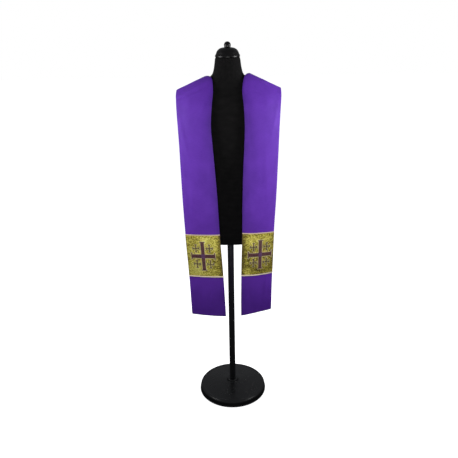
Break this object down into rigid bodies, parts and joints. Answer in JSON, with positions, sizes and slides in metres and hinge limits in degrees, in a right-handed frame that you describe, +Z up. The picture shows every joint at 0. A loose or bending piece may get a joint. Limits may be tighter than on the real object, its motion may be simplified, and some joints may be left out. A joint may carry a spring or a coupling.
{
  "type": "clerical stole on a limbless dress form",
  "caption": "Long purple clerical stole with gold bands and embroidered crosses, draped over a limbless black dress form on a pole with a round base.",
  "frame": {"origin": "middle of the round base's underside, on the floor under the pole", "axes": "+Z up along the pole, -Y out of the front of the form, +X towards the wearer's left"},
  "size_m": [0.4155, 0.316, 1.6055],
  "materials": {
    "purple_cloth": "plain weave with fine cross ribs, soft sheen",
    "gold_cloth": "mottled metallic lame, satin",
    "cream_cord": "twisted cord, satin",
    "maroon_thread": "satin stitch",
    "black_jersey": "matt knitted cover",
    "black_gloss": "gloss",
    "black_base": "semi-gloss black",
    "black_steel": "satin black"
  },
  "bodies": {
    "root": {"strip_right": "purple_cloth", "band_right": "gold_cloth", "trim_head_right": "cream_cord", "trim_foot_right": "cream_cord", "cross_right": "maroon_thread", "strip_left": "purple_cloth", "band_left": "gold_cloth", "trim_head_left": "cream_cord", "trim_foot_left": "cream_cord", "cross_left": "maroon_thread", "small_cross_right_1": "maroon_thread", "small_cross_right_2": "maroon_thread", "small_cross_right_3": "maroon_thread", "small_cross_right_4": "maroon_thread", "small_cross_left_1": "maroon_thread", "small_cross_left_2": "maroon_thread", "small_cross_left_3": "maroon_thread", "small_cross_left_4": "maroon_thread", "form_torso": "black_jersey", "form_cap": "black_gloss", "form_knob": "black_gloss", "form_base": "black_base", "form_pole": "black_steel"}
  },
  "joints": []
}
